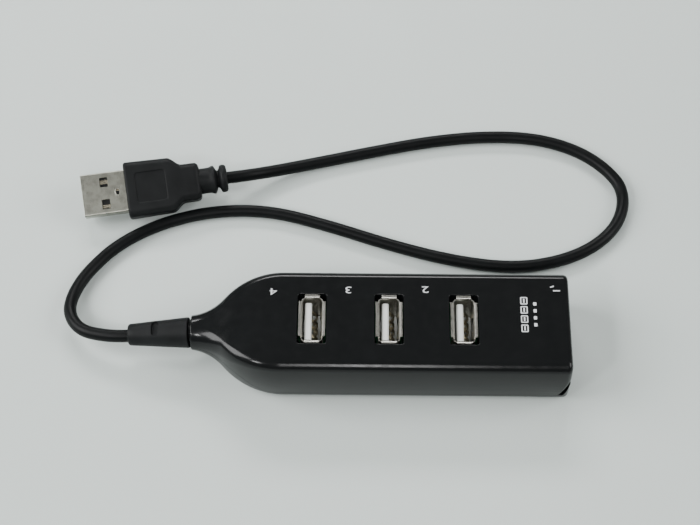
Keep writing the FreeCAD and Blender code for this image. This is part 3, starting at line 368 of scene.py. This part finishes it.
def barrel(half_a, half_b, corner, bulge, corner_steps=10, side_steps=8):
    """Outline with flat top and bottom, round corners and bulging sides, as (a, b) pairs."""
    turn = math.asin((half_b - corner) / (bulge - corner))
    quarter = math.pi / 2
    middle_a = half_a - bulge
    corner_a = middle_a + (bulge - corner) * math.cos(turn)
    corner_b = half_b - corner
    arcs = ((corner_a, -corner_b, corner, -quarter, -turn, corner_steps),
            (middle_a, 0.0, bulge, -turn, turn, side_steps),
            (corner_a, corner_b, corner, turn, quarter, corner_steps))
    points = []
    for sign in (1, -1):
        for a, b, radius, start, stop, steps in arcs:
            for step in range(steps):
                angle = start + (stop - start) * step / steps
                points.append((sign * (a + radius * math.cos(angle)),
                               sign * (b + radius * math.sin(angle))))
        points.append((sign * corner_a, sign * half_b))
    return points


def round_edge(radius, steps=4):
    """(inset, depth) pairs down a rounded edge, from the face to the side."""
    pairs = []
    for step in range(steps + 1):
        angle = math.radians(90) * step / steps
        pairs.append((radius * (1 - math.sin(angle)), radius * (1 - math.cos(angle))))
    return pairs


def revolved(profile, to_point, steps=48):
    """Rings round an axis from (along, radius) pairs."""
    rings = []
    for along, radius in profile:
        ring = []
        for step in range(steps):
            angle = 2 * math.pi * step / steps
            ring.append(to_point(along, radius * math.cos(angle), radius * math.sin(angle)))
        rings.append(ring)
    return rings


def drum(x, radius, z_low, z_high, steps=48):
    """An upright cylinder with its rim rings at two heights."""
    return solid(revolved([(z_low, radius), (z_high, radius)],
                          lambda along, a, b: (x + a, b, along), steps))


# ---------------------------------------------------------------- housing

low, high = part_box("upper_housing")
NECK_X, TOP = low.x / MM, high.z / MM
END_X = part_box("lower_housing")[1].x / MM
HALF_WIDTH = high.y / MM
MID_Z = TOP / 2
WALL = 1.7
EDGE_RADIUS = 2.6
SIDE_BULGE = 45.0
END_RADIUS = 1.4
NECK_HALF = 4.6
NECK_ANGLE = math.radians(6)
SHOULDER_ANGLE = math.radians(45)
FLARE_RADIUS = 14.5
PARTING = 3.2
SEAM = 0.14
ARCH_SET_BACK, ARCH_TOP = 2.2, 16.2
ARCH_BOW_BACK, ARCH_BOW_RISE = 0.23, 0.46
ARCH_ROUND, ARCH_GAP = 1.0, 0.4
END_PORT_Z = 7.46
WINDOW_HALF_A, WINDOW_HALF_B, WINDOW_CORNER = 3.85, 7.45, 0.7
SOCKET_X = {4: -18.0, 3: 2.5, 2: 22.4}
SCREW_X = (-29.0, 31.0)

FLARE_RISE = FLARE_RADIUS * (math.cos(NECK_ANGLE) - math.cos(SHOULDER_ANGLE))
FLARE_RUN = FLARE_RADIUS * (math.sin(SHOULDER_ANGLE) - math.sin(NECK_ANGLE))
SHOULDER_RISE = HALF_WIDTH - NECK_HALF - FLARE_RISE
SHOULDER_RADIUS = SHOULDER_RISE / (1 - math.cos(SHOULDER_ANGLE))
FULL_X = NECK_X + FLARE_RUN + SHOULDER_RADIUS * math.sin(SHOULDER_ANGLE)


def half_width(x):
    """Bottle outline: a hollow flare at the neck, then the round shoulder."""
    along = x - NECK_X
    if along <= FLARE_RUN:
        sine = math.sin(NECK_ANGLE) + along / FLARE_RADIUS
        return NECK_HALF + FLARE_RADIUS * (math.cos(NECK_ANGLE) - math.sqrt(1 - sine ** 2))
    short = max(FULL_X - x, 0.0)
    return HALF_WIDTH - SHOULDER_RADIUS + math.sqrt(SHOULDER_RADIUS ** 2 - short ** 2)


def section(x, inset=0.0, at=None):
    """The housing's outline at X, drawn in by an inset and placed at another X if given."""
    half = half_width(x)
    share = (half - NECK_HALF) / (HALF_WIDTH - NECK_HALF)
    height = NECK_HALF + share * (MID_Z - NECK_HALF)
    neck_round = 0.97 * NECK_HALF
    radius = neck_round + share * (EDGE_RADIUS - neck_round)
    place = x if at is None else at
    outline = barrel(half - inset, height - inset, radius - inset, SIDE_BULGE - inset)
    return [(place, a, MID_Z + b) for a, b in outline]


def form_rings(start, stop, inset, start_edge=0.0, stop_edge=0.0):
    """Rings from the neck to the end wall, with rounded rims."""
    rings = []
    for draw_in, depth in round_edge(start_edge) if start_edge else [(0.0, 0.0)]:
        rings.append(section(start + depth, inset + draw_in))
    shoulder_steps = 64
    first = start + start_edge
    for step in range(1, shoulder_steps + 1):
        rings.append(section(first + (FULL_X - first) * step / shoulder_steps, inset))
    for step in range(1, 6):
        rings.append(section(FULL_X + (stop - stop_edge - FULL_X) * step / 5, inset))
    if stop_edge:
        for draw_in, depth in reversed(round_edge(stop_edge, 8)[:-1]):
            rings.append(section(stop - depth, inset + draw_in))
    return rings


def arc_points(start, middle, end, steps=12):
    """A shallow curve through three points."""
    points = []
    for step in range(steps + 1):
        t = step / steps
        weights = ((1 - t) * (1 - 2 * t), 4 * t * (1 - t), t * (2 * t - 1))
        points.append(tuple(sum(w * p[axis] for w, p in zip(weights, (start, middle, end)))
                            for axis in range(2)))
    return points


def arch_curve(shift, back=0.0):
    """The upper shell's end edge as (x, z) pairs, from the joint line up."""
    foot = (END_X - ARCH_SET_BACK - shift - back, PARTING + shift)
    head = (END_X + 0.6 - shift - back, ARCH_TOP + shift)
    middle = (END_X - ARCH_BOW_BACK * ARCH_SET_BACK - shift - back,
              foot[1] + ARCH_BOW_RISE * (head[1] - foot[1]))
    return arc_points(foot, middle, head)


def below_joint(shift, arch_shift):
    """Solid that holds the lower shell, its boundary moved up by a shift."""
    neck_side, body_side = NECK_X + 8.6, NECK_X + 22.6
    upper, lower = MID_Z + shift, PARTING + shift
    fall = upper - lower
    bend = ((body_side - neck_side) ** 2 + fall ** 2) / (4 * fall)
    half_turn = math.asin((body_side - neck_side) / (2 * bend))
    steps = 10
    outline = [(NECK_X - 3, upper)]
    for step in range(steps + 1):
        angle = half_turn * step / steps
        outline.append((neck_side + bend * math.sin(angle), upper - bend * (1 - math.cos(angle))))
    for step in range(steps - 1, -1, -1):
        angle = half_turn * step / steps
        outline.append((body_side - bend * math.sin(angle), lower + bend * (1 - math.cos(angle))))
    arch = arch_curve(arch_shift)
    outline += [(arch[0][0], lower)] + arch[1:]
    outline += [(END_X + 5, arch[-1][1]), (END_X + 5, -5), (NECK_X - 3, -5)]
    return solid([[(x, y, z) for x, z in outline] for y in (-40, 40)])


def side_y(z):
    """How far the housing's side stands from the middle at a height."""
    turn = math.asin((MID_Z - EDGE_RADIUS) / (SIDE_BULGE - EDGE_RADIUS))
    middle = HALF_WIDTH - SIDE_BULGE
    height = abs(z - MID_Z)
    if height <= SIDE_BULGE * math.sin(turn):
        return middle + math.sqrt(SIDE_BULGE ** 2 - height ** 2)
    rise = height - (MID_Z - EDGE_RADIUS)
    return middle + (SIDE_BULGE - EDGE_RADIUS) * math.cos(turn) + math.sqrt(EDGE_RADIUS ** 2 - rise ** 2)


def arch_rounder(side):
    """Cutter that rounds the outer edge of the upper shell's end, on one side."""
    rings = []
    levels = [(ARCH_ROUND, -2.0)] + round_edge(ARCH_ROUND, 7)
    for back, depth in levels:
        curve = arch_curve(SEAM / 2 - 0.02, back)
        ring = [(x, side * (side_y(z) - depth), z) for x, z in curve]
        end_y, foot_y = ring[-1][1], ring[0][1]
        ring += [(END_X + 3, end_y, curve[-1][1]), (END_X + 3, foot_y, curve[0][1] - 1.0),
                 (curve[0][0], foot_y, curve[0][1] - 1.0)]
        rings.append(ring)
    return solid(rings)


def window_cutter(to_point, depth):
    """A socket window with a rounded rim, cut from the face inwards."""
    lip = 0.22
    rings = []
    levels = [(lip, -1.0)] + round_edge(lip) + [(0.0, depth)]
    for grow, level in levels:
        rings.append([to_point(a, b, -level) for a, b in
                      rounded(WINDOW_HALF_A + grow, WINDOW_HALF_B + grow, WINDOW_CORNER + grow, 6)])
    return solid(rings)


def recess_cutter(x, radius, depth):
    lip = 0.15
    profile = [(-1.0, radius + lip), (0.0, radius + lip), (lip, radius), (depth, radius)]
    return solid(revolved(profile, lambda along, a, b: (x + a, b, along)))


def make_housings():
    shell = solid(form_rings(NECK_X, END_X, 0.0, 0.25, END_RADIUS))
    cavity = solid(form_rings(NECK_X + 3.0, END_X - WALL, WALL))
    for x in SOCKET_X.values():
        skirt = solid([[(x + a, b, z) for a, b in rounded(WINDOW_HALF_A + 0.9, WINDOW_HALF_B + 0.9, 1.2)]
                       for z in (TOP - WALL - 2.0, TOP)])
        combine(cavity, skirt, "DIFFERENCE")
    combine(shell, cavity, "DIFFERENCE")
    bore = solid(revolved([(NECK_X - 1, 2.4), (NECK_X + 6, 2.4)], lambda along, a, b: (along, a, MID_Z + b)))
    combine(shell, bore, "DIFFERENCE")
    lower = shape("scratch", shell.data.copy())

    upper = combine(shell, below_joint(SEAM / 2, SEAM / 2), "DIFFERENCE")
    for side in (1, -1):
        combine(upper, arch_rounder(side), "DIFFERENCE")
    plate_gap = solid([section(END_X, WALL - 0.15 - SEAM, at=x) for x in (END_X - WALL - 0.2, END_X + 1)])
    combine(upper, plate_gap, "DIFFERENCE")
    for x in SOCKET_X.values():
        combine(upper, window_cutter(lambda a, b, out, x=x: (x + a, b, TOP + out), 6.0), "DIFFERENCE")
    settle(upper, "upper_shell", "black_gloss", "upper_housing")

    combine(lower, below_joint(-SEAM / 2, -ARCH_GAP), "INTERSECT")
    plate = solid([section(END_X, WALL - 0.15, at=x) for x in (END_X - WALL, END_X)])
    combine(lower, plate, "UNION")
    end_window = window_cutter(lambda a, b, out: (END_X + out, b, END_PORT_Z - a), 6.0)
    combine(lower, end_window, "DIFFERENCE")
    for x in SCREW_X:
        combine(lower, drum(x, 3.4, WALL - 0.4, 3.35), "UNION")
        combine(lower, recess_cutter(x, 2.4, 1.95), "DIFFERENCE")
        combine(lower, drum(x, 1.25, 1.0, 4.0, 24), "DIFFERENCE")
    settle(lower, "lower_shell", "black_gloss", "lower_housing")


make_housings()


# ---------------------------------------------------------------- strain relief

BOOT_GAP = 0.5
BOOT_LENGTH = 16.6
BOOT_DROOP = math.radians(5.5)
BOOT_LARGE, BOOT_SMALL = 4.2, 2.9
BOOT_SLOT_PLACE = 9.0


def make_boot():
    """Tapered strain relief: flat neck end, rounded cord end, a slot above and below."""
    large, small, length = BOOT_LARGE, BOOT_SMALL, BOOT_LENGTH
    profile = [(0.0, large - 0.35), (0.06, large - 0.16), (0.22, large - 0.05)]
    for step in range(1, 13):
        along = 0.4 + (length - 0.9) * step / 12
        profile.append((along, large + (small - large) * along / length))
    profile += [(length - 0.25, small - 0.06), (length - 0.06, small - 0.2), (length, small - 0.45),
                (length - 0.05, 2.0), (length - 0.9, 1.85)]
    boot = solid(revolved(profile, lambda along, a, b: (-along, a, b), 64))
    for side in (1, -1):
        levels = ((0.5, 4.6), (0.12, 3.62), (0.0, 3.4), (0.0, 2.4))
        cutter = solid([[(a - BOOT_SLOT_PLACE, b, side * level)
                         for a, b in rounded(0.95 + grow, 2.1 + grow, 0.8 + grow)]
                        for grow, level in levels])
        combine(boot, cutter, "DIFFERENCE")
    boot.data.transform(Matrix.Translation((NECK_X - BOOT_GAP, 0, MID_Z))
                        @ Matrix.Rotation(-BOOT_DROOP, 4, "Y"))
    waist = [(-1.4, 2.35), (3.05, 2.35), (3.1, 2.5), (3.1, 2.8), (3.2, 2.95), (4.4, 2.95), (4.5, 2.85)]
    combine(boot, solid(revolved(waist, lambda along, a, b: (NECK_X + along, a, MID_Z + b))), "UNION")
    settle(boot, "strain_relief", "black_matt", "cord_boot")


make_boot()


# ---------------------------------------------------------------- plug
#
# The plug's own frame: origin in the middle of the overmould's front face, +X
# towards the cord, +Z out of the side that faces up as the plug leans.

PLUG_ORIGIN = Vector((-72.0, 46.5, 6.45))
PLUG_YAW, PLUG_LEAN = math.radians(9.8), math.radians(25.0)
PLUG_PLACE = (Matrix.Translation(PLUG_ORIGIN) @ Matrix.Rotation(PLUG_YAW, 4, "Z")
              @ Matrix.Rotation(PLUG_LEAN, 4, "X"))
PLUG_REACH, PLUG_BURIED = 12.4, 5.95
PLUG_OUTER, PLUG_INNER = (6.0, 2.25, 0.5), (5.7, 1.95, 0.22)
LATCH_PLACE, LATCH_SIDE = 5.95, 3.15
LATCH_HALF_LONG, LATCH_HALF_WIDE, LATCH_CORNER = 1.1, 1.32, 0.2
DIMPLE_PLACE = 2.35
GRIP_HALF, GRIP_THICK, GRIP_TAPER = 8.0, 4.0, 0.35
WAIST_HALF, WAIST_THICK = 5.3, 3.85
GRIP_LENGTH = 21.2


def smooth_step(value, start, stop):
    share = min(max((value - start) / (stop - start), 0.0), 1.0)
    return share * share * (3 - 2 * share)


def make_overmould():
    """Flat grip with round shoulders and a waist, a sunk panel, and a ribbed tail."""
    rings = []

    def add(x, inset):
        share = smooth_step(x, 12.5, 16.4)
        wide = GRIP_HALF - GRIP_TAPER * min(x / 12.8, 1.0)
        half = wide + (WAIST_HALF - wide) * share
        thick = GRIP_THICK + (WAIST_THICK - GRIP_THICK) * share
        rings.append([(x, a, b) for a, b in rounded(half - inset, thick - inset, 2.1 - inset * 0.6, 8)])

    for inset, depth in round_edge(0.7):
        add(depth, inset)
    for step in range(1, 40):
        add(0.7 + (GRIP_LENGTH - 2.1) * step / 40, 0.0)
    for inset, depth in reversed(round_edge(1.4, 6)):
        add(GRIP_LENGTH - depth, inset)
    grip = solid(rings)
    tail = [(19.6, 3.2), (20.6, 3.64), (23.3, 3.64), (23.8, 3.68), (24.3, 3.82), (24.8, 4.03), (25.25, 4.0),
            (25.45, 3.7), (25.9, 2.78), (26.1, 2.5), (26.35, 2.5), (26.6, 2.8), (26.95, 3.6), (27.2, 3.9),
            (27.6, 3.98), (28.2, 3.93), (28.65, 3.65), (28.85, 3.2), (28.9, 2.7), (28.85, 2.1), (28.2, 1.85)]
    combine(grip, solid(revolved(tail, lambda along, a, b: (along, a, b), 56)), "UNION")
    for side in (1, -1):
        levels = ((0.5, GRIP_THICK + 0.5), (0.32, GRIP_THICK), (0.12, GRIP_THICK - 0.08),
                  (0.0, GRIP_THICK - 0.24))
        panel = solid([[(7.2 + a, b, side * level) for a, b in rounded(4.2 + grow, 4.2 + grow, 0.7 + grow, 5)]
                       for grow, level in levels])
        combine(grip, panel, "DIFFERENCE")
    pocket = solid([[(x, a, b) for a, b in rounded(6.03, 2.28, 0.63)] for x in (-1.0, 6.0)])
    combine(grip, pocket, "DIFFERENCE")
    settle(grip, "plug_grip", "black_matt", "plug_overmould", sharp=40.0, placement=PLUG_PLACE)


def make_plug_shell():
    """Folded sheet tube with four latch holes, a punched dimple and a seam below."""
    front, back = -PLUG_REACH, PLUG_BURIED
    outer, inner = PLUG_OUTER, PLUG_INNER

    def ring(x, half_a, half_b, radius, inset=0.0):
        return [(x, a, b) for a, b in rounded(half_a - inset, half_b - inset, radius - inset)]

    rings = [ring(front, *outer, 0.12), ring(front + 0.04, *outer, 0.04), ring(front + 0.12, *outer),
             ring(back, *outer), ring(back, *inner), ring(front + 0.12, *inner),
             ring(front + 0.04, *inner, -0.04), ring(front, *inner, -0.1)]
    tube = solid(rings, looped=True)
    for y in (-LATCH_SIDE, LATCH_SIDE):
        levels = ((0.1, 2.6), (0.1, 2.25), (0.02, 2.17), (0.0, 2.1), (0.0, 0.0))
        for side in (1, -1):
            cutter = solid([[(a - LATCH_PLACE, y + b, side * level)
                             for a, b in rounded(LATCH_HALF_LONG + grow, LATCH_HALF_WIDE + grow,
                                                 LATCH_CORNER + grow, 3)]
                            for grow, level in levels])
            combine(tube, cutter, "DIFFERENCE")
    turns = [2 * math.pi * index / 28 for index in range(28)]
    rim = []
    for step in range(12):
        angle = 2 * math.pi * step / 12
        spread, rise = 0.16 * math.cos(angle), 0.07 * math.sin(angle)
        rim.append([(-DIMPLE_PLACE + (0.66 + spread) * math.cos(turn), (1.02 + spread) * math.sin(turn),
                     2.24 + rise) for turn in turns])
    combine(tube, solid(rim, looped=True), "UNION")
    punch = solid([[(-DIMPLE_PLACE + 0.54 * math.cos(turn), 0.9 * math.sin(turn), level)
                    for turn in turns] for level in (3.0, 1.0)])
    combine(tube, punch, "DIFFERENCE")
    seam = solid([[(x, -0.06, -2.5), (x, 0.06, -2.5), (x, 0.06, -2.1), (x, -0.06, -2.1)]
                  for x in (front - 1, back + 1)])
    combine(tube, seam, "DIFFERENCE")
    settle(tube, "plug_metal", "plug_nickel", "plug_shell", placement=PLUG_PLACE)


make_overmould()
make_plug_shell()


# ---------------------------------------------------------------- printed marks

PRINT_LIFT = 0.012


def glyph_mesh(text, size, widen):
    """A printed figure as a very thin solid, its middle on the origin, in millimetres."""
    curve = bpy.data.curves.new("glyph", "FONT")
    curve.body = text
    curve.size = size
    curve.align_x = "CENTER"
    curve.align_y = "CENTER"
    curve.extrude = PRINT_LIFT / 2
    curve.resolution_u = 8
    scratch = shape("scratch", curve)
    mesh = bpy.data.meshes.new_from_object(scratch.evaluated_get(bpy.context.evaluated_depsgraph_get()))
    bpy.data.objects.remove(scratch)
    mesh.transform(Matrix.Diagonal((widen, 1.0, 1.0, 1.0)))
    return mesh


def frame_mesh(half_a, half_b, radius, line):
    """A thin printed outline of a rounded rectangle."""
    rings = []
    for grow, level in ((0.0, -1), (0.0, 1), (-line, 1), (-line, -1)):
        rings.append([(a, b, level * PRINT_LIFT / 2)
                      for a, b in rounded(half_a + grow, half_b + grow, max(radius + grow, 0.02), 5)])
    return solid_mesh(rings, looped=True)


def bar_mesh(half_a, half_b):
    """A thin printed bar with round corners."""
    corner = min(half_a, half_b) * 0.4
    return solid_mesh([[(a, b, level * PRINT_LIFT / 2) for a, b in rounded(half_a, half_b, corner, 3)]
                       for level in (-1, 1)])


def printed(name, mesh, x, y, turn):
    """Lays a printed mark on the housing's top, turned about the vertical."""
    place = Matrix.Translation((x, y, TOP + PRINT_LIFT / 2)) @ Matrix.Rotation(math.radians(turn), 4, "Z")
    settle(shape("scratch", mesh), name, "print_white", placement=place)


def make_prints():
    for number, (x, y) in {4: (-28.5, 8.1), 3: (-8.4, 8.8), 2: (12.2, 9.1)}.items():
        printed("figure_%d" % number, glyph_mesh(str(number), 2.85, 1.5), x, y, 180)
    printed("figure_1", glyph_mesh("1", 2.75, 1.35), 47.4, 9.0, 90)
    printed("figure_tick", bar_mesh(0.55, 0.16), 46.1, 10.2, 20)
    # A row of four socket outlines stands where the housing carries its type.
    for index in range(4):
        y = -2.5 + 2.78 * index
        printed("mark_outline_%d" % index, frame_mesh(0.95, 1.12, 0.3, 0.3), 38.4, y, 0)
        printed("mark_tongue_%d" % index, bar_mesh(0.2, 0.62), 38.4, y, 0)
        printed("mark_dash_%d" % index, bar_mesh(0.42, 0.5), 41.3, -1.4 + 2.1 * index, 0)


make_prints()


# ---------------------------------------------------------------- carried-over mouldings

def refine(node, name, slot, width):
    """A CAD node's own shape with its edges rounded."""
    obj = shape("scratch", frame["nodes"][node].data.copy())
    obj.data.transform(Matrix.Scale(1 / MM, 4))
    bm = bmesh.new()
    bm.from_mesh(obj.data)
    bmesh.ops.remove_doubles(bm, verts=bm.verts, dist=0.0005)
    bmesh.ops.dissolve_limit(bm, angle_limit=math.radians(0.8), verts=bm.verts, edges=bm.edges)
    bm.to_mesh(obj.data)
    bm.free()
    bevel(obj, width)
    settle(obj, name, slot, node)


for port in (1, 2, 3, 4):
    refine("port_%d_insulator" % port, "port_%d_tongue" % port, "insulator_white", 0.09)


# ---------------------------------------------------------------- stage

def make_floor():
    mesh = bpy.data.meshes.new("table")
    half = 2.5
    mesh.from_pydata([(-half, -half, 0), (half, -half, 0), (half, half, 0), (-half, half, 0)],
                     [], [(0, 1, 2, 3)])
    floor = bpy.data.objects.new("table", mesh)
    scene.collection.objects.link(floor)
    nodes = Nodes("table_top")
    clouds = nodes.noise((0.004, 0.004, 0.004), 2.0)
    base = nodes.ramp(clouds, [(0.3, (0.57, 0.63, 0.605)), (0.7, (0.60, 0.655, 0.63))])
    gloss = nodes.ramp(nodes.noise((0.05, 0.05, 0.05), 3.0), [(0.3, 0.42), (0.7, 0.5)])
    mesh.materials.append(nodes.finish(base, gloss))


def area_light(name, place, target, size, energy):
    data = bpy.data.lights.new(name, "AREA")
    data.shape = "RECTANGLE"
    data.size, data.size_y = size
    data.energy = energy
    light = bpy.data.objects.new(name, data)
    light.location = place
    light.rotation_euler = (Vector(target) - Vector(place)).to_track_quat("-Z", "Y").to_euler()
    scene.collection.objects.link(light)


def make_lights():
    area_light("lamp", (0.003, -0.62, 0.78), (0, 0, 0), (0.09, 0.5), 2.8)
    area_light("shoulder_lamp", (-0.55, -0.48, 0.68), (0, 0, 0), (0.12, 0.12), 2.4)
    area_light("left_window", (-0.98, 0.02, 0.72), (0, 0, 0), (0.8, 0.7), 19.0)
    area_light("right_window", (0.98, 0.02, 0.72), (0, 0, 0), (0.8, 0.7), 10.0)
    area_light("rear_lamp", (-0.1, 0.85, 0.66), (0, 0, 0), (0.6, 0.2), 6.5)
    world = bpy.data.worlds.new("room")
    world.use_nodes = True
    background = world.node_tree.nodes["Background"]
    background.inputs["Color"].default_value = (0.95, 1.0, 0.98, 1.0)
    background.inputs["Strength"].default_value = 0.1
    scene.world = world


make_floor()
make_lights()
